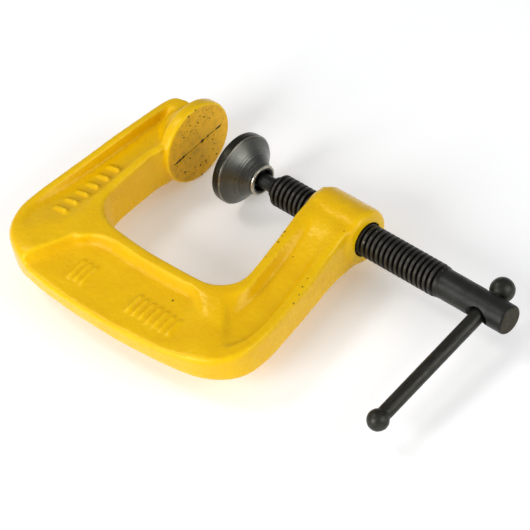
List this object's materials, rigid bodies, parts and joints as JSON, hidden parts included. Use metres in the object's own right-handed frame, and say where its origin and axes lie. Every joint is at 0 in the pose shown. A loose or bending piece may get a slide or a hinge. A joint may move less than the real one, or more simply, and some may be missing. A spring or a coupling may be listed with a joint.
{
  "type": "g clamp",
  "caption": "Small cast C-shaped screw clamp with anvil disc, threaded screw, swivel pad and sliding tommy bar.",
  "frame": {"origin": "centre of the anvil face, on the screw axis", "axes": "+X along the screw from the anvil to the handle, +Y away from the spine, +Z square to the plane of the C"},
  "size_m": [0.1135, 0.0657, 0.0212],
  "materials": {
    "enamel": "glossy yellow enamel over a rough iron casting",
    "black_steel": "black oxide, oiled",
    "turned_steel": "gunmetal oxide over turning marks, bright at the rim and lip",
    "bar_steel": "black oxide, headed ends"
  },
  "bodies": {
    "frame": {"frame": "enamel"},
    "ball_end": {"ball_end": "black_steel"},
    "screw": {"screw": "black_steel"},
    "pad": {"pad": "turned_steel"},
    "tommy_bar": {"tommy_bar": "bar_steel"}
  },
  "joints": [
    {"name": "screw_feed", "type": "slide", "parent": "frame", "child": "ball_end", "axis": [1, 0, 0], "range_m": [-0.0116, 0.016]},
    {"name": "screw_turn", "type": "hinge", "parent": "ball_end", "child": "screw", "pos_m": [0.018, 0, 0], "axis": [1, 0, 0], "range_deg": [-2959.4, 4081.9]},
    {"name": "pad_tilt", "type": "hinge", "parent": "ball_end", "child": "pad", "pos_m": [0.018, 0, 0], "axis": [0, 0, 1], "range_deg": [-7, 7]},
    {"name": "bar_slide", "type": "slide", "parent": "screw", "child": "tommy_bar", "axis": [0, 0.998, 0.0628], "range_m": [0, 0.032]}
  ],
  "couplings": [
    {"joint": "screw_feed", "follows": "screw_turn", "m_per_rad": 0.00022458}
  ]
}
